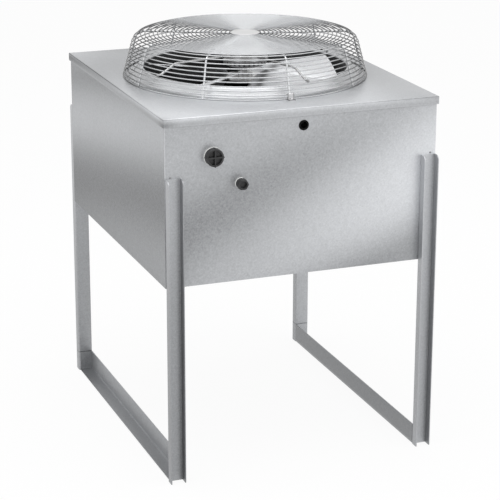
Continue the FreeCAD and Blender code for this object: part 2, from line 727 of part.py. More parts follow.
def make_grommet():
    """The grommet in the front panel's cable entry."""
    body = new_body("cable_grommet")
    level = "(" + LID_TOP + " - entry_drop)"
    inside = FRONT_FACE + " - panel_gauge - grommet_rim"
    outer = circle(body, "XZ_Plane", inside, "0", level, "grommet_radius")
    feature(body, "Pad", outer, "2 * grommet_rim + panel_gauge")
    neck = "(entry_radius - seat_clearance / 2)"
    past = "(grommet_radius + grommet_rim)"
    corners = rectangle(neck, past, "-" + FRONT_FACE, "-(" + FRONT_FACE + " - panel_gauge)")
    waist = body.newObject("PartDesign::Groove", "waist")
    waist.Profile = outline(body, "XY_Plane", level, corners)
    waist.ReferenceAxis = (waist.Profile[0], ["V_Axis"])
    waist.Angle = 360
    doc.recompute()
    bore = circle(body, "XZ_Plane", FRONT_FACE + " + grommet_rim", "0", level, "grommet_bore")
    feature(body, "Pocket", bore, "2 * grommet_rim + panel_gauge")


def main():
    """Makes every piece, checks it and writes it."""
    make_lid()
    front = make_panel("front_panel", -1)
    for size in ("large", "small"):
        hole = size + "_body_radius + seat_clearance"
        pierce(front, size + "_from_left - lid_width / 2", size + "_drop", hole)
    pierce(front, "0", "entry_drop", "entry_radius")
    make_panel("back_panel", 1)
    make_side("left_side_panel", -1)
    make_side("right_side_panel", 1)
    for side, hand in ((-1, "left"), (1, "right")):
        make_leg("front_%s_leg" % hand, side, -1)
        make_leg("back_%s_leg" % hand, side, 1)
        make_rail("%s_foot_rail" % hand, side)
    make_venturi()
    make_rings()
    make_ribs()
    make_clip()
    make_motor()
    make_arms()
    make_fan()
    make_coil()
    make_bends()
    make_coupling("large")
    make_coupling("small")
    make_lines()
    make_grommet()
    doc.recompute()
    failed = [o.Name for o in doc.Objects if {"Invalid", "Error"} & set(o.State)]
    for node in nodes:
        if node.Shape.isNull() or not node.Shape.isValid():
            failed.append(node.Label)
    if failed:
        raise RuntimeError("not built: " + ", ".join(failed))
    os.makedirs("parts", exist_ok=True)
    for node in nodes:
        node.Shape.exportStep("parts/%s.step" % node.Label)
        print("%-26s %d solids %12.0f mm3" % (node.Label, len(node.Shape.Solids), node.Shape.Volume))
    print(len(nodes), "nodes")


main()
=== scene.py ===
"""Looks of a remote condenser: a galvanised cabinet on leg frames, with a fan under a domed wire guard.

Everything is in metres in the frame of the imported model: +X to the right along the front face, +Y into the
depth, +Z up, with the origin on the ground under the fan's axis.
"""

import logging
import math
from dataclasses import dataclass, field
from enum import Enum
from typing import Any

import bmesh
import bpy
import numpy as np
from mathutils import Matrix, Vector

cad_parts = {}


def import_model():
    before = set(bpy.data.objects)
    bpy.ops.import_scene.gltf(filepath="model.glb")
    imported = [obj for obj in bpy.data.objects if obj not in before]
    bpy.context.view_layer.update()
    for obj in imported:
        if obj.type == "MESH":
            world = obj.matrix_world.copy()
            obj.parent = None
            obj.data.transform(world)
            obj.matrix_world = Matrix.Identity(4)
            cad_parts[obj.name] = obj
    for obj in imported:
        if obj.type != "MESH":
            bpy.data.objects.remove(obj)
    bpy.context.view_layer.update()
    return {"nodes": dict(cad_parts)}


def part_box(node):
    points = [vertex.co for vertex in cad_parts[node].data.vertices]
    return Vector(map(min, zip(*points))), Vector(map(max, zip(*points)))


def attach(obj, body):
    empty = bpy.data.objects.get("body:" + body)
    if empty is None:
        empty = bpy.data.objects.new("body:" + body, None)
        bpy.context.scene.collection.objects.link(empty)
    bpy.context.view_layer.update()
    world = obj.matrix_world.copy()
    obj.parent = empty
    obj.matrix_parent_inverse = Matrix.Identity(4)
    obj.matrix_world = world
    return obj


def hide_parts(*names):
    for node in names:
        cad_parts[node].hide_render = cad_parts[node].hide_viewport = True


LOG = logging.getLogger("remote_condenser")

Array = np.ndarray
Pair = tuple[float, float]
Triple = tuple[float, float, float]
Line = tuple[Array, Array]
Values = dict[Any, Any] | None

ACROSS = (1.0, 0.0, 0.0)
INWARD = (0.0, 1.0, 0.0)
UPWARD = (0.0, 0.0, 1.0)
BLACK = (0.0, 0.0, 0.0, 1.0)
WHITE = (1.0, 1.0, 1.0, 1.0)

# How far under its outer face a sheet still shows its outer colour, before the painted shade of its inner
# side
SKIN = 0.0004


class Slot(Enum):
    """Material slots of the record."""

    PANEL = "galvanised_panel"
    LEG = "galvanised_leg"
    RING = "spun_ring"
    ZINC = "zinc_plated"
    MOTOR = "motor_paint"
    COIL = "coil_aluminium"
    COUPLING = "coupling_plating"
    PLASTIC = "black_plastic"


class Body(Enum):
    """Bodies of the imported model."""

    CABINET = "cabinet"
    FAN = "fan"


class Hand(Enum):
    """Left and right, as the sign of X."""

    LEFT = -1
    RIGHT = 1


class End(Enum):
    """Front and back, as the sign of Y."""

    FRONT = -1
    BACK = 1


class Axis(Enum):
    """Axes that a profile is turned about: upward, or out of the front face."""

    UP = "up"
    OUT = "out"


@dataclass(frozen=True)
class Datum:
    """Faces and levels that the pieces share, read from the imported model."""

    lid_side: float
    lid_front: float
    lid_top: float
    lid_under: float
    side: float
    front: float
    leg_top: float

    @classmethod
    def read(cls) -> "Datum":
        """Reads them from the boxes of the lid, a side panel, the back panel and a leg.

        Returns:
            The faces and levels.
        """
        under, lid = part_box("top_panel")
        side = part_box("right_side_panel")[1].x
        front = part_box("back_panel")[1].y
        return cls(lid.x, lid.y, lid.z, under.z, side, front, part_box("back_right_leg")[1].z)


# Shader maths


class Tree:
    """The node tree of one material or world, with one method for every kind of node."""

    def __init__(self, name: str, holder: Any = None) -> None:
        """Starts an empty tree.

        Args:
            name: Name of the material.
            holder: A world that takes the tree in place of a new material.
        """
        self.material = holder or bpy.data.materials.new(name)
        self.material.use_nodes = True
        self.tree = self.material.node_tree
        self.tree.nodes.clear()

    def node(self, kind: str, settings: Values = None, sockets: Values = None) -> Any:
        """Adds a node.

        Args:
            kind: Node type without its common prefix.
            settings: Properties, set before the sockets.
            sockets: Values or links, by socket name or number.

        Returns:
            The new node.
        """
        made = self.tree.nodes.new("ShaderNode" + kind)
        for key, value in (settings or {}).items():
            setattr(made, key, value)
        for key, value in (sockets or {}).items():
            self.feed(made.inputs[key], value)
        return made

    def feed(self, socket: Any, value: Any) -> None:
        """Links a socket, or sets its value.

        Args:
            socket: Input socket.
            value: A wire, a number or a tuple.
        """
        if isinstance(value, Wire):
            self.tree.links.new(value.socket, socket)
        else:
            socket.default_value = value

    def wire(self, kind: str, out: Any, settings: Values = None, sockets: Values = None) -> "Wire":
        """Adds a node and returns one of its outputs, by name or number, as a wire."""
        return Wire(self, self.node(kind, settings, sockets).outputs[out])

    def place(self) -> "Wire":
        """The point on the object in its own coordinates, in metres."""
        return self.wire("TexCoord", "Object")

    def along(self, direction: Triple) -> "Wire":
        """The distance of the point along a direction."""
        return self.wire("VectorMath", "Value", {"operation": "DOT_PRODUCT"}, {0: self.place(), 1: direction})

    def radius(self) -> "Wire":
        """The distance of the point from the fan's axis."""
        flat = self.wire("VectorMath", 0, {"operation": "MULTIPLY"}, {0: self.place(), 1: (1.0, 1.0, 0.0)})
        return self.wire("VectorMath", "Value", {"operation": "LENGTH"}, {0: flat})

    def noise(self, scale: float, detail: float, stretch: Triple = (1.0, 1.0, 1.0)) -> "Wire":
        """Soft noise, about 0 to 1: so many waves in a metre and octaves, with each axis scaled first."""
        spread = self.wire("Mapping", 0, {}, {"Vector": self.place(), "Scale": stretch})
        return self.wire("TexNoise", 0, {}, {"Vector": spread, "Scale": scale, "Detail": detail})

    def cells(self, scale: float) -> "Wire":
        """A random grey for each cell of a broken surface.

        Args:
            scale: Cells in a metre.

        Returns:
            The grey, 0 to 1.
        """
        sockets = {"Vector": self.place(), "Scale": scale, "Randomness": 1.0}
        seen = self.wire("TexVoronoi", "Color", {}, sockets)
        weights = (0.34, 0.33, 0.33)
        return self.wire("VectorMath", "Value", {"operation": "DOT_PRODUCT"}, {0: seen, 1: weights})

    def blend(self, factor: Any, low: Any, high: Any) -> "Wire":
        """A colour between two colours."""
        return self.wire("Mix", 2, {"data_type": "RGBA"}, {0: factor, 6: low, 7: high})

    def bump(self, height: "Wire", distance: float) -> "Wire":
        """A normal bent by a height."""
        return self.wire("Bump", 0, {}, {"Strength": 1.0, "Distance": distance, "Height": height})

    def sight(self) -> "Wire":
        """Tells what the camera sees, straight or in metal or glass, from light on the object.

        Returns:
            1 for what is seen, and 0 for light.
        """
        outputs = self.node("LightPath").outputs
        kinds = ("Camera", "Glossy", "Transmission")
        camera, glossy, clear = (Wire(self, outputs[f"Is {kind} Ray"]) for kind in kinds)
        return camera.maths("MAXIMUM", camera, glossy.maths("MAXIMUM", glossy, clear))

    def mixed(self, output: str, factor: "Wire", first: "Wire", second: "Wire") -> None:
        """Closes the tree with a mix of two shaders, where the factor is the second one's share."""
        mix = self.wire("MixShader", 0, {}, {0: factor, 1: first, 2: second})
        self.node(output, {}, {0: mix})

    def finish(self, colour: "Wire", rough: Any, normal: "Wire", fixed: dict[str, float]) -> Any:
        """Closes the material with its shader.

        Args:
            colour: Base colour.
            rough: Roughness.
            normal: Bent normal.
            fixed: Shader sockets with one value all over.

        Returns:
            The material.
        """
        varied = {"Base Color": colour, "Roughness": rough, "Normal": normal}
        shader = self.wire("BsdfPrincipled", 0, {}, {**fixed, **varied})
        self.node("OutputMaterial", {}, {0: shader})
        return self.material

    def metal(self, tone: "Wire", tint: Triple, rough: Any, normal: "Wire", metallic: float) -> Any:
        """Closes the material as metal: its colour is the tint times the tone."""
        return self.finish(self.blend(tone, BLACK, (*tint, 1.0)), rough, normal, {"Metallic": metallic})


class Wire:
    """An output socket whose sums are written as Python sums."""

    def __init__(self, tree: Tree, socket: Any) -> None:
        """Wraps a socket of a tree."""
        self.tree = tree
        self.socket = socket

    def maths(self, operation: str, first: Any, second: Any = 0.0) -> "Wire":
        """A Math node over two values."""
        return self.tree.wire("Math", 0, {"operation": operation}, {0: first, 1: second})

    def __add__(self, other: Any) -> "Wire":
        """Sum."""
        return self.maths("ADD", self, other)

    __radd__ = __add__

    def __mul__(self, other: Any) -> "Wire":
        """Product."""
        return self.maths("MULTIPLY", self, other)

    __rmul__ = __mul__

    def __sub__(self, other: Any) -> "Wire":
        """Difference."""
        return self.maths("SUBTRACT", self, other)

    def __rsub__(self, other: Any) -> "Wire":
        """Difference from a number."""
        return self.maths("SUBTRACT", other, self)

    def __truediv__(self, other: Any) -> "Wire":
        """Quotient."""
        return self.maths("DIVIDE", self, other)

    def __rtruediv__(self, other: Any) -> "Wire":
        """A number over this value."""
        return self.maths("DIVIDE", other, self)

    def bell(self) -> "Wire":
        """1 at zero, falling to 0 on both sides as e to the minus square."""
        return self.maths("EXPONENT", self * self * -1.0)

    def size(self) -> "Wire":
        """The value without its sign."""
        return self.maths("ABSOLUTE", self)

    def ramp(self, low: float, high: float) -> "Wire":
        """Runs smoothly from 0 to 1 as the value goes from low to high."""
        settings = {"interpolation_type": "SMOOTHSTEP"}
        return self.tree.wire("MapRange", 0, settings, {0: self, 1: low, 2: high, 3: 0.0, 4: 1.0})


# Finishes


@dataclass(frozen=True)
class PaintedBand:
    """A soft band of painted light or shade across a direction: lighter for a positive gain, darker for a
    negative one.
    """

    direction: Triple
    middle: float
    width: float
    gain: float

    def strength(self, tree: Tree) -> Wire:
        """gain * e to the minus ((distance along the direction - middle) / width) squared."""
        return ((tree.along(self.direction) - self.middle) / self.width).bell() * self.gain


@dataclass(frozen=True)
class GalvanisedSheet:
    """Zinc-dipped sheet: a fine spangle, small scratches, soft bands of painted light and shade, and painted
    shade on its inner side.
    """

    name: str
    tone: float
    contrast: float = 0.30
    grain: float = 0.50
    spangle: float = 230.0
    roughness: float = 0.42
    metallic: float = 0.80
    relief: float = 0.00018
    bands: tuple[PaintedBand, ...] = ()
    # Direction and reach of the painted shade on the sheet's inner side
    inner: tuple[Triple, float] | None = None

    def material(self) -> Any:
        """Builds the material: nearer to the cabinet's middle than the inner reach, painted shade makes it
        dark.

        Returns:
            The material.
        """
        tree = Tree(self.name)
        crystals = tree.cells(self.spangle) - 0.5
        grain = tree.noise(320.0, 3.0) - 0.5
        cloud = tree.noise(5.0, 3.0) - 0.5
        scratches = tree.noise(24.0, 3.0, (1.0, 1.0, 22.0)).ramp(0.66, 0.76)
        shade = 1.0 + crystals * self.contrast + grain * self.grain + cloud * 0.12
        # Painted light and shade: each band lightens or darkens the sheet where it crosses it.
        for band in self.bands:
            shade = shade + band.strength(tree)
        # Painted shade: the inner side is darkened for the shade inside the cabinet.
        if self.inner is not None:
            across, reach = self.inner
            shade = shade * (0.16 + tree.along(across).size().ramp(reach - SKIN, reach) * 0.84)
        rough = self.roughness + crystals * 0.10 + cloud * 0.10
        normal = tree.bump(crystals * 0.4 + grain * 0.6, self.relief)
        tone = (shade + scratches * 0.10) * self.tone
        return tree.metal(tone, (0.980, 1.0, 1.030), rough, normal, self.metallic)


@dataclass(frozen=True)
class SpunMetal:
    """Bright spun sheet with fine rings left by the tool, and painted shade that blackens the throat below
    its lip.
    """

    name: str
    throat: float
    lip: float
    tone: float = 0.55
    roughness: float = 0.24

    def material(self) -> Any:
        """Builds the material: the rings follow the height and the distance from the fan's axis.

        Returns:
            The material.
        """
        tree = Tree(self.name)
        radius = tree.radius()
        level = tree.along(UPWARD)
        course = tree.wire("CombineXYZ", 0, {}, {0: radius, 1: level, 2: 0.0})
        rings = tree.wire("TexNoise", 0, {}, {"Vector": course, "Scale": 420.0, "Detail": 3.0})
        grain = tree.noise(700.0, 2.0)
        # Painted shade: inside the throat and below the lip, the ring is darkened.
        inside = 1.0 - radius.ramp(self.throat, self.throat + 0.0006)
        throat_shade = inside * (1.0 - level.ramp(self.lip, self.lip + 0.004))
        tone = self.tone * (0.86 + rings * 0.2 + grain * 0.08) * (1.0 - throat_shade * 0.86)
        rough = self.roughness + rings * 0.10 + throat_shade * 0.4
        return tree.metal(tone, (0.985, 1.0, 1.020), rough, tree.bump(rings, 0.0004), 1.0)


@dataclass(frozen=True)
class MotorShell:
    """Satin grey motor paint, with a row of painted dark vent slots round each end, shade standing in for the
    openings.
    """

    name: str
    levels: Pair
    tone: float = 0.36
    slots: float = 28.0

    def material(self) -> Any:
        """Builds the material: a painted slot of shade is dark where the sine of slots times the angle is
        high.

        Returns:
            The material.
        """
        tree = Tree(self.name)
        parts = tree.node("SeparateXYZ", {}, {0: tree.place()})
        across, along, level = (Wire(tree, parts.outputs[k]) for k in range(3))
        angle = across.maths("ARCTAN2", along, across)
        # Painted shade: the slots have no openings, only dark colour and a dent.
        comb = angle.maths("SINE", angle * self.slots).ramp(0.1, 0.5)
        low, high = (((level - middle) / 0.0045).bell().ramp(0.35, 0.55) for middle in self.levels)
        slot = comb * (low + high)
        grain = tree.noise(500.0, 3.0)
        tone = self.tone * (0.85 + grain * 0.3) * (1.0 - slot * 0.9)
        normal = tree.bump(grain * 0.2 - slot, 0.0012)
        return tree.metal(tone, (0.98, 0.99, 1.0), 0.38 + grain * 0.1, normal, 0.35)


@dataclass(frozen=True)
class PlainMetal:
    """Metal with a light grain and soft bands of painted light and shade, such as blades, arms, tubes or
    plated fittings.
    """

    name: str
    colour: Triple
    roughness: float
    metallic: float = 1.0
    grain: float = 0.12
    bands: tuple[PaintedBand, ...] = ()

    def material(self) -> Any:
        """Builds the material: grain and the painted bands of light and shade change the colour's strength,
        and patches its roughness.

        Returns:
            The material.
        """
        tree = Tree(self.name)
        grain = tree.noise(300.0, 3.0)
        patch = tree.noise(25.0, 2.0)
        tone = (1.0 - self.grain) + (grain * 0.6 + patch * 0.4) * self.grain
        # Painted light and shade: each band lightens or darkens the colour.
        for band in self.bands:
            tone = tone * (1.0 + band.strength(tree))
        rough = self.roughness + (patch - 0.5) * 0.12
        return tree.metal(tone, self.colour, rough, tree.bump(grain, 0.0002), self.metallic)


@dataclass(frozen=True)
class PlatedWire:
    """Plated wire of the guard, with a painted reflection: lighter where it runs across the view, and
    darkened by painted shade towards the two sides.
    """

    name: str
    lit_tone: float = 0.52
    shaded_tone: float = 0.07
    roughness: float = 0.16
    # The camera's right direction, so the painted shade follows the view.
    sideways: Triple = (0.935, -0.356, 0.0)

    def material(self) -> Any:
        """Builds the material: painted shade darkens it as the distance sideways nears the distance from the
        fan's axis.

        Returns:
            The material.
        """
        tree = Tree(self.name)
        # Painted reflection: where the wire runs towards the camera, painted shade darkens it.
        side_shade = (tree.along(self.sideways).size() / (tree.radius() + 0.001)).ramp(0.72, 0.96)
        grain = tree.noise(300.0, 3.0)
        tone = (self.lit_tone + side_shade * (self.shaded_tone - self.lit_tone)) * (0.92 + grain * 0.12)
        return tree.metal(tone, (0.985, 1.0, 1.020), self.roughness, tree.bump(grain, 0.0002), 1.0)


@dataclass(frozen=True)
class Moulding:
    """Moulded black parts with a fine texture and patches of dust."""

    name: str
    colour: Triple
    roughness: float
    specular: float = 0.5

    def material(self) -> Any:
        """Builds the material.

        Returns:
            The material.
        """
        tree = Tree(self.name)
        grain = tree.noise(1400.0, 2.0)
        dust = tree.noise(45.0, 4.0).ramp(0.45, 0.8)
        pale = tuple(c * 2.2 + 0.01 for c in self.colour)
        colour = tree.blend(dust, (*self.colour, 1.0), (*pale, 1.0))
        fixed = {"Metallic": 0.0, "Specular IOR Level": self.specular}
        return tree.finish(colour, self.roughness + dust * 0.2, tree.bump(grain, 0.0002), fixed)


# Surfaces


def bend_line(corners: list[Pair], radii: tuple[float, ...] = (), steps: int = 6) -> Line:
    """A line through corners, rounded at each inner corner by an arc that touches both runs.

    At a corner with unit directions a in and b out that turn by t, the arc starts radius * tan(t / 2)
    before the corner, and its points are centre + radius * (cos, sin) of evenly spaced angles.

    Args:
        corners: Corners of the line, across and up.
        radii: Radius at each inner corner.
        steps: Spans of each arc.

    Returns:
        The points and their left-hand unit normals.
    """
    at = np.array(corners, float)
    run = (at[1:] - at[:-1]) / np.linalg.norm(at[1:] - at[:-1], axis=1, keepdims=True)
    left = np.stack([-run[:, 1], run[:, 0]], axis=1)
    places = [at[:1]]
    sides = [left[:1]]
    for i, radius in enumerate(radii):
        turn = math.atan2(run[i, 0] * run[i + 1, 1] - run[i, 1] * run[i + 1, 0], float(run[i] @ run[i + 1]))
        hand = math.copysign(1.0, turn)
        start = at[i + 1] - run[i] * radius * math.tan(abs(turn) / 2)
        centre = start + left[i] * radius * hand
        angles = np.linspace(0.0, turn, steps + 1)
        cos, sin = np.cos(angles), np.sin(angles)
        side = np.stack([left[i, 0] * cos - left[i, 1] * sin, left[i, 0] * sin + left[i, 1] * cos], axis=1)
        places.append(centre - side * radius * hand)
        sides.append(side)
    places.append(at[-1:])
    sides.append(left[-1:])
    return np.concatenate(places), np.concatenate(sides)


def around(radius: Array, level: Array, axis: Axis) -> Array:
    """Points round an axis.

    A point at radius r and level h is at r (cos t, sin t) across the axis and at h along it.

    Args:
        radius: Rows by points round the axis, whose angles t are evenly spaced.
        level: One for each row, as a column.
        axis: The axis.

    Returns:
        The points, rows by columns by 3.
    """
    many = radius.shape[1]
    angles = np.arange(many) * (2 * math.pi / many)
    cos, sin, level = radius * np.cos(angles), radius * np.sin(angles), level + 0 * radius
    return np.stack((cos, sin, level) if axis is Axis.UP else (cos, -level, sin), axis=-1)


@dataclass
class Form:
    """Grids of points gathered into one mesh."""

    points: list[Array] = field(default_factory=list)
    faces: list[list[int]] = field(default_factory=list)
    count: int = 0

    def grid(self, places: Array, close_rows: bool = False, close_columns: bool = False) -> Array:
        """Adds a surface from a grid of points: each cell of the grid is one face.

        Args:
            places: Rows by columns by 3.
            close_rows: Joins the last row to the first.
            close_columns: Joins the last column to the first.

        Returns:
            The numbers of the points, rows by columns.
        """
        rows, columns = places.shape[:2]
        index = np.arange(rows * columns).reshape(rows, columns) + self.count
        self.points.append(places.reshape(-1, 3))
        self.count += rows * columns
        wide = np.vstack([index, index[:1]]) if close_rows else index
        wide = np.hstack([wide, wide[:, :1]]) if close_columns else wide
        cells = np.stack([wide[:-1, :-1], wide[1:, :-1], wide[1:, 1:], wide[:-1, 1:]], axis=-1)
        self.faces += cells.reshape(-1, 4).tolist()
        return index

    def cover(self, ring: Array) -> None:
        """Closes a ring of points with one face."""
        self.faces.append(ring.tolist())

    def turn(self, profile: Array, middle: Triple, axis: Axis, steps: int, close: bool = False) -> Array:
        """Turns a profile of radius and level, a loop where close is set, and returns its points' numbers."""
        places = around(profile[:, :1].repeat(steps, 1), profile[:, 1:], axis) + np.array(middle)
        return self.grid(places, close_rows=close, close_columns=True)

    def folded(self, bent: Line, gauge: float, low: Any, high: Any, axes: tuple[int, int, int]) -> None:
        """A folded sheet: a bend line given a gauge and drawn out between two levels.

        The four corners at each place on the line are its outer and inner skin at the low and high level.

        Args:
            bent: Points of the outer skin across the draw, and their left-hand normals.
            gauge: Thickness, to the right of the line.
            low: Lower level, one for all or one at each place.
            high: Upper level, likewise.
            axes: Which coordinates the line's two numbers and the level fill.
        """
        line, sides = bent
        inner = line - sides * gauge
        corners = np.zeros((len(line), 4, 3))
        for k, (skin, level) in enumerate(((line, low), (line, high), (inner, high), (inner, low))):
            corners[:, k, axes[0]] = skin[:, 0]
            corners[:, k, axes[1]] = skin[:, 1]
            corners[:, k, axes[2]] = level
        index = self.grid(corners, close_columns=True)
        self.cover(index[0])
        self.cover(index[-1])

    def mesh(self, name: str, material: Any) -> Any:
        """Makes the mesh, with its points and faces as they were added.

        Args:
            name: Name of the mesh.
            material: Its finish.

        Returns:
            The mesh.
        """
        mesh = bpy.data.meshes.new(name)
        mesh.from_pydata(np.concatenate(self.points).tolist(), [], self.faces)
        mesh.materials.append(material)
        return mesh

    def build(
        self, name: str, slot: Slot, material: Any,
        body: Body = Body.CABINET, bevel: float = 0.0, sharp: float = 40.0,
    ) -> Any:
        """Makes the object, closed and facing outward.

        Args:
            name: Name of the piece.
            slot: Material slot of the record; not used.
            material: The piece's finish.
            body: Body that the piece rides on.
            bevel: Width of the rounding on its sharp edges.
            sharp: Angle in degrees past which an edge stays sharp.

        Returns:
            The object.
        """
        mesh = self.mesh(name, material)
        work = bmesh.new()
        work.from_mesh(mesh)
        bmesh.ops.remove_doubles(work, verts=work.verts, dist=1e-6)
        bmesh.ops.recalc_face_normals(work, faces=work.faces)
        work.to_mesh(mesh)
        work.free()
        mesh.shade_smooth()
        mesh.set_sharp_from_angle(angle=math.radians(sharp))
        piece = link(name, mesh)
        if bevel > 0:
            rounding = piece.modifiers.new("rounding", "BEVEL")
            rounding.width = bevel
            rounding.segments = 2
            rounding.limit_method = "ANGLE"
            rounding.angle_limit = math.radians(sharp)
        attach(piece, body.value)
        return piece


def link(name: str, data: Any) -> Any:
    """Makes an object and puts it in the scene.

    Args:
        name: Name of the object.
        data: Its mesh, lamp or camera.

    Returns:
        The object.
    """
    made = bpy.data.objects.new(name, data)
    bpy.context.scene.collection.objects.link(made)
    return made


def dress(nodes: dict[str, Any], names: list[str], material: Any) -> None:
    """Gives CAD nodes a finish.

    Args:
        nodes: Objects by node name.
        names: Nodes to dress.
        material: The finish.
    """
    for name in names:
        mesh = nodes[name].data
        mesh.materials.clear()
        mesh.materials.append(material)


# Sub-assemblies


@dataclass
class Lid:
    """The folded lid with mitred corners and a round hole."""

    datum: Datum
    gauge: float = 0.0015
    bend: float = 0.0022
    hole: float = 0.262
    side_points: int = 16
    steep: float = 20.0

    def top_band(self, across: float, inward: float, middle: float, width: float, gain: float) -> PaintedBand:
        """A painted lighter or darker band over the flat top alone: its direction rises so steeply that it
        ends just under the top.
        """
        return PaintedBand((across, inward, self.steep), self.steep * self.datum.lid_top + middle, width, gain)

    def finish(self) -> Any:
        """The lid's zinc: painted shade on the skirt, its edges and the front left corner, and broad painted
        bands of reflected light and shade over its top.

        Returns:
            The material.
        """
        top = self.datum.lid_top
        # Painted shade on the skirt, the fold, the left edge and the front left corner, a broad painted shade
        # towards the back right, then painted reflections over the top.
        bands = (
            PaintedBand(UPWARD, top - 0.015, 0.0095, -0.27),
            PaintedBand(UPWARD, top - 0.0013, 0.0009, -0.32),
            PaintedBand(ACROSS, -self.datum.lid_side, 0.0022, -0.18),
            PaintedBand((0.707, 0.707, 0.0), -0.536, 0.021, -0.24),
            PaintedBand((0.707, 0.707, 0.0), 0.42, 0.35, -0.175),
            self.top_band(-0.8, 0.6, 0.366, 0.196, -0.36),
            self.top_band(1.0, 0.0, 0.310, 0.130, -0.25),
            self.top_band(-0.707, -0.707, 0.470, 0.120, 0.15),
        )
        smooth = {"roughness": 0.38, "metallic": 0.7, "relief": 0.00005}
        return GalvanisedSheet("lid_zinc", 0.67, contrast=0.12, grain=0.22, bands=bands, **smooth).material()

    def section(self) -> Array:
        """The folded section, from the top round to the underside.

        Returns:
            Each point's distance in from the sides, and its level.
        """
        top, under = self.datum.lid_top, self.datum.lid_under
        turns = np.linspace(0.0, math.pi / 2, 5)[1:]
        bend, gauge = self.bend, self.gauge
        bent = np.stack([bend * (1 - np.sin(turns)), top - bend * (1 - np.cos(turns))], axis=1)
        fold = [(0.0, under), (gauge, under), (gauge, top - bend), (bend, top - gauge)]
        return np.concatenate([[(bend, top)], bent, fold])

    def build(self) -> None:
        """Makes the lid.

        A point at place (a, b) on the edge of a unit square goes to (a (half width - d), b (half depth - d))
        on each ring, where d and the level follow the section; the hole's ring is scaled to its radius.
        """
        wide, deep, top_level = self.datum.lid_side, self.datum.lid_front, self.datum.lid_top
        steps = np.linspace(-1.0, 1.0, self.side_points + 1)[:-1]
        one = np.ones_like(steps)
        a = np.concatenate([steps, one, -steps, -one])
        b = np.concatenate([-one, steps, one, -steps])
        inset, level = self.section().T[:, :, None]
        across = (wide - inset) * a
        rings = np.stack([across, (deep - inset) * b, level + 0 * across], axis=-1)
        flat = np.stack([a * wide, b * deep], axis=-1)
        circle = flat / np.linalg.norm(flat, axis=1, keepdims=True) * self.hole
        top = np.concatenate([circle, np.full((len(a), 1), top_level)], axis=1)[None]
        under = top - np.array([0.0, 0.0, self.gauge])
        form = Form()
        form.grid(np.concatenate([top, rings, under]), close_rows=True, close_columns=True)
        piece = form.build("lid_sheet", Slot.PANEL, self.finish())
        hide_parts("top_panel")


@dataclass
class Panels:
    """The four upright sheets, and the screws that hold them."""

    nodes: dict[str, Any]
    datum: Datum
    screw: float = 0.0025
    crown: float = 0.0013
    in_from_side: float = 0.014
    above_leg: float = 0.0035

    def dress_sheets(self) -> None:
        """Gives each sheet its zinc, with soft bands of painted light and shade that cross it, and painted
        shade on its inner side.
        """
        # Painted shadow just under the lid's skirt.
        skirt_shadow = PaintedBand(UPWARD, self.datum.lid_under - 0.0018, 0.0013, -0.22)
        rising = (-0.41, 0.0, 0.912)
        # Front: diagonal painted reflections, painted light towards the top and the right, a painted
        # highlight along the left fold, and the shadow under the skirt.
        front_painted_light = (
            PaintedBand(rising, 0.513, 0.098, 0.38),
            PaintedBand(rising, 0.712, 0.084, -0.58),
            PaintedBand(rising, 0.365, 0.070, -0.83),
            PaintedBand(ACROSS, 0.478, 0.40, 0.90),
            PaintedBand(UPWARD, 0.800, 0.40, 0.90),
            PaintedBand(ACROSS, 0.0005 - self.datum.side, 0.0014, 0.55),
            skirt_shadow,
        )
        falling = (0.0, 0.168, 0.986)
        # Sides: diagonal painted reflections, painted shade low down, and the shadow under the skirt.
        side_painted_light = (
            PaintedBand(falling, 0.785, 0.079, 0.33),
            PaintedBand(falling, 0.641, 0.109, -0.44),
            PaintedBand(falling, 0.908, 0.041, -0.26),
            PaintedBand(UPWARD, 0.340, 0.184, -0.36),
            skirt_shadow,
        )
        # The inner sides get painted shade.
        front_inner_shade, side_inner_shade = (INWARD, self.datum.front - SKIN), (ACROSS, self.datum.side - SKIN)
        front = GalvanisedSheet("front_zinc", 0.258, 0.36, 0.68, bands=front_painted_light, inner=front_inner_shade)
        side = GalvanisedSheet("side_zinc", 0.373, 0.25, bands=side_painted_light, inner=side_inner_shade)
        sheets = GalvanisedSheet("tube_sheet_zinc", 0.30)
        dress(self.nodes, ["front_panel", "back_panel"], front.material())
        dress(self.nodes, ["left_side_panel", "right_side_panel"], side.material())
        dress(self.nodes, ["coil_tube_sheet_front", "coil_tube_sheet_back"], sheets.material())

    def screws(self) -> None:
        """Domed screw heads above the legs: a dome of radius r has the level h sqrt(1 - (d / r) squared)."""
        distance = np.array([0.0, 0.40, 0.72, 0.92, 1.0]) * self.screw
        level = self.crown * np.sqrt(1.0 - (distance / self.screw) ** 2) + 0.0003
        level[-1] = 0.0
        closed = np.concatenate([np.stack([distance, level], axis=1), [[0.0, 0.0]]])
        form = Form()
        for hand in Hand:
            across = hand.value * (self.datum.side - self.in_from_side)
            for end in End:
                middle = (across, end.value * self.datum.front, self.datum.leg_top + self.above_leg)
                form.turn(closed * np.array([1.0, -end.value]), middle, Axis.OUT, 16)
        finish = PlainMetal("screw_zinc", (0.34, 0.34, 0.35), 0.40)
        form.build("panel_screws", Slot.ZINC, finish.material())

    def build(self) -> None:
        """Dresses the sheets and adds their screws."""
        self.dress_sheets()
        self.screws()


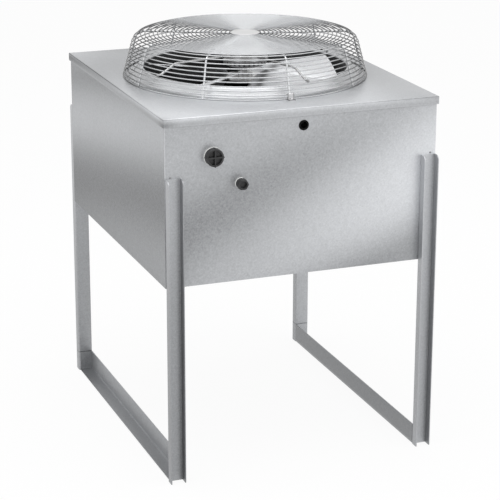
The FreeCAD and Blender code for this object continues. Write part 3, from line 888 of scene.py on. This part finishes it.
@dataclass
class LegFrames:
    """Channel legs with their flanges turned outward, and the foot rails between them."""

    datum: Datum
    width: float = 0.0385
    flange: float = 0.024
    gauge: float = 0.0025
    inset: float = 0.001
    corner: float = 0.012
    bend: float = 0.0035
    rail_height: float = 0.054
    rail_flange: float = 0.035
    rounding: float = 0.0003
    tip_points: int = 9
    crowding: float = 1.6

    def sides(self) -> Pair:
        """How far the legs' outer and inner sides are from the cabinet's middle."""
        outer = self.datum.side - self.inset
        return outer, outer - self.width

    def leg(self, hand: Hand, end: End, finish: Any) -> None:
        """One leg.

        Within the corner radius r of a flange's tip, at distance d from it, the top falls by
        r - sqrt(r squared - (r - d) squared).

        Args:
            hand: Left or right.
            end: Front or back.
            finish: The leg's material.
        """
        outer, inner = self.sides()
        web = self.datum.front
        tip = web + self.flange
        corners = [(outer, tip), (outer, web), (inner, web), (inner, tip)]
        line, sides = bend_line(corners, (self.bend, self.bend))
        tips = tip - np.linspace(0.0, 1.0, self.tip_points) ** self.crowding * self.corner
        first = np.stack([np.full_like(tips, outer), tips], axis=1)
        last = np.stack([np.full_like(tips, inner), tips], axis=1)[::-1]
        line = np.concatenate([first, line[1:-1], last])
        many = len(tips)
        sides = np.concatenate([sides[:1].repeat(many, 0), sides[1:-1], sides[-1:].repeat(many, 0)])
        short = np.clip(self.corner - (tip - line[:, 1]), 0.0, self.corner)
        high = self.datum.leg_top - (self.corner - np.sqrt(self.corner**2 - short**2))
        flip = np.array([hand.value, end.value], float)
        form = Form()
        form.folded((line * flip, sides * flip), self.gauge, 0.0, high, (0, 1, 2))
        place = f"{end.name}_{hand.name}".lower()
        piece = form.build(f"{place}_channel", Slot.LEG, finish, bevel=self.rounding)
        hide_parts(f"{place}_leg")

    def rail(self, hand: Hand, finish: Any) -> None:
        """One foot rail: upright side, foot, and a tab against each leg.

        Args:
            hand: Left or right.
            finish: The rail's material.
        """
        inner = self.sides()[1]
        tip = inner + self.rail_flange
        flip = np.array([hand.value, 1.0])
        line, sides = bend_line([(inner, self.rail_height), (inner, 0.0), (tip, 0.0)], (self.bend,))
        form = Form()
        end_face = self.datum.front
        form.folded((line * flip, -sides * flip), self.gauge, -end_face, end_face, (0, 2, 1))
        for end in End:
            face = end.value * end_face
            tab = np.array([[inner + self.gauge, face], [tip, face]]) * flip
            outward = np.array([[0.0, end.value], [0.0, end.value]], float)
            form.folded((tab, outward), self.gauge, self.gauge, self.rail_height, (0, 1, 2))
        name = hand.name.lower()
        piece = form.build(f"{name}_rail_sheet", Slot.LEG, finish, bevel=self.rounding)
        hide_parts(f"{name}_foot_rail")

    def zinc(self, name: str, bands: tuple[PaintedBand, ...]) -> Any:
        """The legs' zinc: painted light towards the top and the right, with narrow painted bands of light and
        shade along its folds.
        """
        top_right_light = (PaintedBand(UPWARD, 0.82, 0.34, 0.38), PaintedBand(ACROSS, 0.36, 0.30, 0.30))
        return GalvanisedSheet(name, 0.37, 0.16, bands=(*top_right_light, *bands)).material()

    def build(self) -> None:
        """Makes the four legs and the two rails."""
        outer, inner = self.sides()
        # Painted shade inside the front legs' channels, on the flanges' inner faces and along the folds.
        channel_shade = (
            PaintedBand(ACROSS, -inner - self.bend, 0.0070, -0.36),
            PaintedBand(ACROSS, outer - self.gauge, 0.0042, -0.50),
            PaintedBand(ACROSS, inner, 0.0010, -0.22),
            PaintedBand(ACROSS, -outer, 0.0010, -0.18),
        )
        # Painted shadow line where the rail's tab meets the back legs, and painted shade along their inner
        # side.
        seam_shadow = (PaintedBand(UPWARD, self.rail_height + 0.0008, 0.0011, -0.55), PaintedBand(ACROSS, inner, 0.0010, -0.36))
        # Painted highlight along the rail's foot bend, and painted shade on its upright face.
        bend_light_and_shade = (PaintedBand(UPWARD, 0.0058, 0.0013, 0.30), PaintedBand(ACROSS, inner, 0.0010, -0.64))
        front = self.zinc("front_leg_zinc", channel_shade)
        back = self.zinc("back_leg_zinc", seam_shadow)
        low = self.zinc("rail_zinc", bend_light_and_shade)
        for hand in Hand:
            self.leg(hand, End.FRONT, front)
            self.leg(hand, End.BACK, back)
            self.rail(hand, low)


@dataclass
class Collar:
    """The spun ring round the fan: throat, rounded lip, sloped shoulder and flat flange."""

    datum: Datum
    throat: float = 0.260
    gauge: float = 0.0015
    depth: float = 0.085
    height: float = 0.025
    land: float = 0.014
    slope: float = 0.015
    flange: float = 0.013
    bends: Triple = (0.0055, 0.0085, 0.0060)
    steps: int = 256

    def build(self) -> None:
        """Makes the ring by turning its folded section about the fan's axis."""
        top = self.datum.lid_top
        high, seat = top + self.height, top + self.gauge
        crest = self.throat + self.land
        foot = crest + self.slope
        corners = [(self.throat, top - self.depth), (self.throat, high), (crest, high)]
        corners += [(foot, seat), (foot + self.flange, seat)]
        line, sides = bend_line(corners, self.bends, 8)
        outline = np.concatenate([line, (line - sides * self.gauge)[::-1]])
        form = Form()
        form.turn(outline, (0.0, 0.0, 0.0), Axis.UP, self.steps, close=True)
        finish = SpunMetal("spun_zinc", throat=self.throat + 0.0012, lip=top + 0.018)
        piece = form.build("spun_collar", Slot.RING, finish.material())
        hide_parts("venturi_ring")


@dataclass
class Guard:
    """The wire guard: the CAD's wires and middle plate, and the clamp at its front foot."""

    nodes: dict[str, Any]
    datum: Datum
    foot: float = 0.3259
    screw: float = 0.3210
    heel: float = 0.3152
    height: float = 0.0146
    gauge: float = 0.0016
    half_width: float = 0.0085
    hexagon: float = 0.0030

    def screw_head(self) -> Array:
        """A hexagon head on a washer: its radius is r cos 30 / cos(t - the middle of the nearest side).

        Returns:
            Rows by columns by 3, about the middle of its seat.
        """
        angles = np.arange(24) * (math.pi / 12)
        sixth = math.pi / 3
        side = self.hexagon * math.cos(sixth / 2) / np.cos((angles + sixth / 2) % sixth - sixth / 2)
        rows = [(0.0, 0.0), (1.25, 0.0), (1.25, 0.0006), (1.0, 0.0007), (1.0, 0.0024), (0.8, 0.0030)]
        rows += [(0.0, 0.0030)]
        share, level = np.array(rows).T[:, :, None]
        return around(share * side, level, Axis.UP)

    def clamp(self) -> None:
        """A bent strap with a foot on the lid and a lip over the lowest wires, held by a hexagon screw."""
        seat = self.datum.lid_top + self.gauge
        crest = self.datum.lid_top + self.height
        corners = [(-self.foot, seat), (-self.heel, seat), (-self.heel, crest)]
        corners += [(-self.heel + 0.0024, crest + 0.0012)]
        bent = bend_line(corners, (0.0016, 0.0009), 4)
        form = Form()
        form.folded(bent, self.gauge, -self.half_width, self.half_width, (1, 2, 0))
        form.grid(self.screw_head() + np.array([0.0, -self.screw, seat]), close_columns=True)
        # Painted shade along both side edges and at the foot on the lid.
        edge_shade = (
            PaintedBand(ACROSS, -self.half_width, 0.0024, -0.62),
            PaintedBand(ACROSS, self.half_width, 0.0024, -0.62),
            PaintedBand(UPWARD, seat, 0.0016, -0.30),
        )
        finish = PlainMetal("clamp_finish", (0.74, 0.74, 0.75), 0.22, grain=0.3, bands=edge_shade).material()
        piece = form.build("guard_clamp", Slot.ZINC, finish, bevel=0.0002)
        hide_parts("guard_clip")

    def build(self) -> None:
        """Dresses the wires and the middle plate, and makes the clamp."""
        rings = [f"guard_{part}_rings" for part in ("top", "front", "back", "left", "right")]
        # Painted reflection on the wires: lighter across the view, with painted shade at the sides.
        dress(self.nodes, rings, PlatedWire("ring_finish").material())
        dress(self.nodes, ["guard_ribs"], PlatedWire("rib_finish", lit_tone=0.68, shaded_tone=0.40).material())
        plate = PlainMetal("guard_plate_finish", (0.68, 0.68, 0.68), 0.35).material()
        dress(self.nodes, ["guard_hub_plate"], plate)
        self.clamp()


@dataclass
class FanUnit:
    """The motor on its arms, and the rotor under it."""

    nodes: dict[str, Any]
    rim: float = 0.056
    bore: float = 0.0064
    groove: float = 0.0010
    blades: int = 5
    first_blade: float = -5.0
    rivet_spread: float = 14.0

    def motor(self) -> None:
        """Turns the motor's shell: two end bells that meet the middle in shallow grooves."""
        low, high = (corner.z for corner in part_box("motor"))
        rim, waist = self.rim, self.rim - self.groove
        section = [(self.bore, low + 0.001), (0.0170, low), (0.0190, low + 0.0035), (0.0480, low + 0.0042)]
        section += [(0.0530, low + 0.0060), (rim, low + 0.0100), (rim, low + 0.0185), (waist, low + 0.0190)]
        section += [(waist, low + 0.0205), (rim, low + 0.0210), (rim, high - 0.0210), (waist, high - 0.0205)]
        section += [(waist, high - 0.0190), (rim, high - 0.0185), (rim, high - 0.0100)]
        section += [(0.0530, high - 0.0055), (0.0470, high - 0.0035), (0.0220, high - 0.0025)]
        section += [(0.0190, high), (0.0, high), (0.0, high - 0.020), (self.bore, high - 0.020)]
        form = Form()
        form.turn(np.array(section), (0.0, 0.0, 0.0), Axis.UP, 96, close=True)
        paint = MotorShell("motor_paint_finish", (low + 0.0125, high - 0.0125)).material()
        piece = form.build("motor_shell", Slot.MOTOR, paint, sharp=50.0)
        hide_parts("motor")

    def rivets(self, finish: Any) -> None:
        """Domed rivets that hold the blades to the spider plate, three to a blade.

        Args:
            finish: The rivets' material.
        """
        profile = np.array([(0.0032, 0.0), (0.0029, 0.0009), (0.0020, 0.0016), (0.0, 0.0019)])
        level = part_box("fan_spider")[1].z
        spread = self.rivet_spread
        form = Form()
        for blade in range(self.blades):
            for turn, reach in ((-spread, 0.040), (0.0, 0.034), (spread, 0.040)):
                angle = math.radians(self.first_blade + 360.0 / self.blades * blade + turn)
                middle = (reach * math.cos(angle), reach * math.sin(angle), level)
                form.cover(form.turn(profile, middle, Axis.UP, 8)[0])
        form.build("blade_rivets", Slot.ZINC, finish, Body.FAN)

    def build(self) -> None:
        """Makes the motor's shell, dresses the rotor and rivets its blades."""
        # Painted shadow of the motor across the blades near the hub.
        shade = (PaintedBand((0.79, -0.61, 0.0), 0.0605, 0.0125, -0.66),)
        blade = PlainMetal("blade_finish", (0.86, 0.87, 0.89), 0.36, metallic=0.6, bands=shade).material()
        dress(self.nodes, [n for n in self.nodes if n.startswith("fan_blade")], blade)
        zinc = PlainMetal("zinc_finish", (0.74, 0.74, 0.74), 0.38).material()
        dress(self.nodes, ["fan_hub", "fan_shaft", "fan_spider", "motor_band"], zinc)
        dress(self.nodes, ["motor_arms"], PlainMetal("arm_finish", (0.44, 0.44, 0.44), 0.24).material())
        self.motor()
        self.rivets(zinc)


@dataclass
class Coil:
    """The finned coil and its tubes."""

    nodes: dict[str, Any]
    pitch: float = 0.0023
    gauge: float = 0.00028
    proud: float = 0.0016
    end_gap: float = 0.0005

    def fins(self) -> None:
        """Thin fins that stand a little proud of the block: one plate every pitch along the depth."""
        low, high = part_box("coil_fins")
        count = int((high.y - low.y) / self.pitch)
        wide = high.x - self.end_gap
        form = Form()
        for middle in low.y + (np.arange(count) + 0.5) * ((high.y - low.y) / count):
            face = middle + self.gauge / 2
            plate = bend_line([(-wide, face), (wide, face)])
            form.folded(plate, self.gauge, low.z - self.proud, high.z + self.proud, (0, 1, 2))
        finish = PlainMetal("fin_finish", (0.46, 0.47, 0.48), 0.40).material()
        form.build("coil_fin_plates", Slot.COIL, finish)

    def build(self) -> None:
        """Dresses the coil, with its solid fin block painted near black for the shade between the fin plates,
        and makes its fins.
        """
        # Painted shade: the solid fin block is near black.
        fin_block_shade = PlainMetal("fin_core_finish", (0.05, 0.05, 0.05), 0.60, metallic=0.4).material()
        dress(self.nodes, ["coil_fins"], fin_block_shade)
        self.fins()
        copper = PlainMetal("copper_finish", (0.60, 0.31, 0.18), 0.36, grain=0.25).material()
        names = ["return_bends_front", "return_bends_back", "gas_header", "liquid_header"]
        dress(self.nodes, [*names, "gas_line", "liquid_line"], copper)


@dataclass(frozen=True)
class DustCap:
    """A moulded cap: rounded rim, recessed face, and small pointed lugs round its wall."""

    size: str
    middle: Triple
    radius: float
    back: float
    reach: float
    wall: float
    lugs: int
    lug: float
    spread: float
    cross: bool
    recess: float = 0.0070
    steps: int = 144

    def shell(self, form: Form) -> None:
        """The cap's body.

        Its outer radius is R + lug * (1 - angle from the nearest lug / spread), never less than R.

        Args:
            form: Where the surface goes.
        """
        outer, inner, out = self.radius, self.radius - self.wall, self.reach
        floor = out - self.recess
        rows = [(0.0, self.back, 0.0), (outer - 0.001, self.back, 0.4), (outer, self.back + 0.001, 1.0)]
        rows += [(outer, out - 0.0030, 1.0), (outer - 0.0004, out - 0.0010, 0.9)]
        rows += [(outer - 0.0014, out - 0.0001, 0.3), (inner + 0.0008, out, 0.0)]
        rows += [(inner + 0.0001, out - 0.0006, 0.0), (inner - 0.0004, floor, 0.0), (0.0, floor, 0.0)]
        section, level, share = np.array(rows).T[:, :, None]
        angles = np.arange(self.steps) * (2 * math.pi / self.steps)
        step = 2 * math.pi / self.lugs
        away = np.abs((angles + step / 2) % step - step / 2) / math.radians(self.spread)
        radius = section + share * (self.lug * np.clip(1.0 - away, 0.0, 1.0))
        form.grid(around(radius, level, Axis.OUT) + np.array(self.middle), close_columns=True)

    def ribs(self, form: Form) -> None:
        """The cross rib in the recess: a plus drawn out of the recess, narrower at its crest.

        Args:
            form: Where the surface goes.
        """
        far = self.radius - self.wall
        rows = []
        for level, half in ((self.reach - self.recess - 0.0002, 0.0022), (self.reach - 0.0006, 0.0016)):
            plus = [(-half, -far), (half, -far), (half, -half), (far, -half), (far, half), (half, half)]
            plus += [(-x, -z) for x, z in plus]
            rows.append([(x, -level, z) for x, z in plus])
        index = form.grid(np.array(rows) + np.array(self.middle), close_columns=True)
        form.cover(index[0])
        form.cover(index[1])

    def build(self, finish: Any) -> None:
        """Makes the cap, with its recess.

        Args:
            finish: The plastic.
        """
        form = Form()
        self.shell(form)
        if self.cross:
            self.ribs(form)
        piece = form.build(f"{self.size}_cap_moulding", Slot.PLASTIC, finish, bevel=0.0003)
        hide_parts(f"{self.size}_dust_cap")


@dataclass
class FrontFittings:
    """The two capped couplings and the cable entry."""

    datum: Datum
    large_from_left: float = 0.124
    large_drop: float = 0.099
    small_from_left: float = 0.193
    small_drop: float = 0.170
    entry_drop: float = 0.0435
    sheet: float = 0.0015
    tail_length: float = 0.030

    def collar(self, name: str, middle: Triple, sizes: Triple, finish: Any) -> None:
        """A plated collar that stands on the panel: rounded rim, and a tail through the panel.

        Args:
            name: Node that the piece replaces.
            middle: Where it meets the panel's face.
            sizes: The collar's radius, how far it stands out, and its tail's radius.
            finish: The plating.
        """
        radius, depth, tail = sizes
        groove, back = radius - 0.0012, -self.tail_length
        rows = [(0.0, back), (tail, back), (tail, 0.0), (radius - 0.0006, 0.0), (radius, 0.0006)]
        rows += [(radius, depth * 0.45), (groove, depth * 0.55), (groove, depth * 0.70)]
        rows += [(radius, depth * 0.80), (radius - 0.0004, depth), (0.0, depth)]
        form = Form()
        form.turn(np.array(rows), middle, Axis.OUT, 96)
        piece = form.build(f"{name}_collar", Slot.COUPLING, finish)
        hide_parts(name)

    def entry(self) -> None:
        """The rubber grommet: two rounded rims, a waist in the panel and an open bore."""
        rim, waist, bore, lip = 0.0127, 0.01085, 0.0085, 0.0022
        soft, edge = 0.0012, 0.0010
        back = -self.sheet - lip
        outline = [(bore, lip - 0.0004), (bore + 0.0007, lip), (rim - soft, lip), (rim, lip - edge)]
        outline += [(rim, 0.0), (waist, 0.0), (waist, -self.sheet), (rim, -self.sheet), (rim, back + edge)]
        outline += [(rim - soft, back), (bore + 0.0007, back), (bore, back + 0.0004)]
        form = Form()
        form.turn(np.array(outline), self.on_front(0.0, self.entry_drop), Axis.OUT, 96, close=True)
        rubber = Moulding("grommet_finish", (0.004, 0.004, 0.004), 0.60, specular=0.10).material()
        piece = form.build("entry_grommet", Slot.PLASTIC, rubber, sharp=60.0)
        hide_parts("cable_grommet")

    def on_front(self, across: float, drop: float) -> Triple:
        """The place on the front panel's face at a drop below the lid's top."""
        return across, -self.datum.front, self.datum.lid_top - drop

    def build(self) -> None:
        """Makes the caps, the collars behind them and the grommet."""
        large = self.on_front(self.large_from_left - self.datum.lid_side, self.large_drop)
        small = self.on_front(self.small_from_left - self.datum.lid_side, self.small_drop)
        plastic = Moulding("cap_finish", (0.017, 0.017, 0.018), 0.34).material()
        plated = PlainMetal("coupling_finish", (0.90, 0.90, 0.88), 0.20).material()
        lugs = {"lugs": 4, "lug": 0.0022, "spread": 7.0, "cross": True}
        DustCap("large", large, radius=0.0221, back=0.0060, reach=0.0200, wall=0.0048, **lugs).build(plastic)
        lugs = {"lugs": 6, "lug": 0.0011, "spread": 22.0, "cross": False}
        DustCap("small", small, radius=0.0130, back=0.0070, reach=0.0240, wall=0.0046, **lugs).build(plastic)
        self.collar("large_coupling", large, (0.0230, 0.0060, 0.0135), plated)
        self.collar("small_coupling", small, (0.0136, 0.0070, 0.0080), plated)
        self.entry()


@dataclass(frozen=True)
class Lamp:
    """A soft square lamp that faces a point."""

    name: str
    place: Triple
    size: float
    power: float
    target: Triple = (0.0, 0.0, 0.6)


@dataclass
class Studio:
    """Floor, backdrop light, lamps and camera."""

    lens: float = 135.955
    yaw: float = 20.8313
    pitch: float = 17.7900
    roll: float = 0.1463
    place: Triple = (-1.67626, -4.44518, 1.96314)
    room_light: float = 0.60
    floor_white: float = 0.93
    floor_reach: float = 30.0
    lamps: tuple[Lamp, ...] = (
        Lamp("top_softbox", (-0.3, -0.6, 4.4), 3.6, 90.0),
        Lamp("right_softbox", (3.6, -2.6, 2.8), 4.2, 42.0),
        Lamp("left_softbox", (-4.4, 0.4, 2.8), 4.2, 34.0),
    )

    def camera(self) -> None:
        """Places the camera by yaw, downward pitch and roll."""
        yaw, pitch, roll = (math.radians(v) for v in (self.yaw, self.pitch, self.roll))
        ahead = Vector((math.sin(yaw) * math.cos(pitch), math.cos(yaw) * math.cos(pitch), -math.sin(pitch)))
        right = Vector((math.cos(yaw), -math.sin(yaw), 0.0))
        up = right.cross(ahead)
        across = right * math.cos(roll) + up * math.sin(roll)
        above = up * math.cos(roll) - right * math.sin(roll)
        data = bpy.data.cameras.new("photo_camera")
        data.lens = self.lens
        data.sensor_width = 36.0
        data.clip_end = 200.0
        seen = link("photo_camera", data)
        turn = Matrix((across, above, -ahead)).transposed().to_4x4()
        seen.matrix_world = Matrix.Translation(self.place) @ turn
        bpy.context.scene.camera = seen

    def light(self, lamp: Lamp) -> None:
        """Adds one lamp.

        Args:
            lamp: Its place, size and power.
        """
        data = bpy.data.lights.new(lamp.name, "AREA")
        data.size = lamp.size
        data.energy = lamp.power
        made = link(lamp.name, data)
        made.location = lamp.place
        made.rotation_euler = (Vector(lamp.target) - Vector(lamp.place)).to_track_quat("-Z", "Y").to_euler()

    def world(self) -> None:
        """An even white room: at full strength where it is seen, and dimmer as light on the object."""
        room = bpy.data.worlds.new("room")
        bpy.context.scene.world = room
        tree = Tree("room", room)
        powers = (self.room_light, 1.0)
        lit, white = (tree.wire("Background", 0, {}, {0: WHITE, 1: power}) for power in powers)
        tree.mixed("OutputWorld", tree.sight(), lit, white)

    def floor(self) -> None:
        """A wide pale floor: mostly white to the camera and in the metal, with the object's shadow kept."""
        steps = np.linspace(-self.floor_reach, self.floor_reach, 5)
        across, along = np.meshgrid(steps, steps)
        form = Form()
        form.grid(np.stack([across, along, 0 * across - 0.0004], axis=-1))
        form.faces = [face[::-1] for face in form.faces]
        tree = Tree("studio_floor_paint")
        pale = {"Base Color": (0.92, 0.92, 0.92, 1.0), "Roughness": 0.9}
        paint = tree.wire("BsdfPrincipled", 0, {}, pale)
        white = tree.wire("Emission", 0, {}, {0: WHITE, 1: 1.0})
        tree.mixed("OutputMaterial", tree.sight() * self.floor_white, paint, white)
        made = link("studio_floor", form.mesh("studio_floor", tree.material))

    def build(self) -> None:
        """Sets the whole studio."""
        self.camera()
        for lamp in self.lamps:
            self.light(lamp)
        self.world()
        self.floor()


def main() -> None:
    """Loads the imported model, builds every piece in order and reports each one."""
    logging.basicConfig(level=logging.INFO, format="%(message)s")
    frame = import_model()
    nodes = frame["nodes"]
    bpy.context.scene.view_settings.view_transform = "Standard"
    datum = Datum.read()
    stages = (
        ("studio", Studio()),
        ("lid", Lid(datum)),
        ("panels", Panels(nodes, datum)),
        ("leg frames", LegFrames(datum)),
        ("collar", Collar(datum)),
        ("guard", Guard(nodes, datum)),
        ("fan unit", FanUnit(nodes)),
        ("coil", Coil(nodes)),
        ("front fittings", FrontFittings(datum)),
    )
    for words, stage in stages:
        stage.build()
        LOG.info("built: %s", words)


if __name__ == "__main__":
    main()
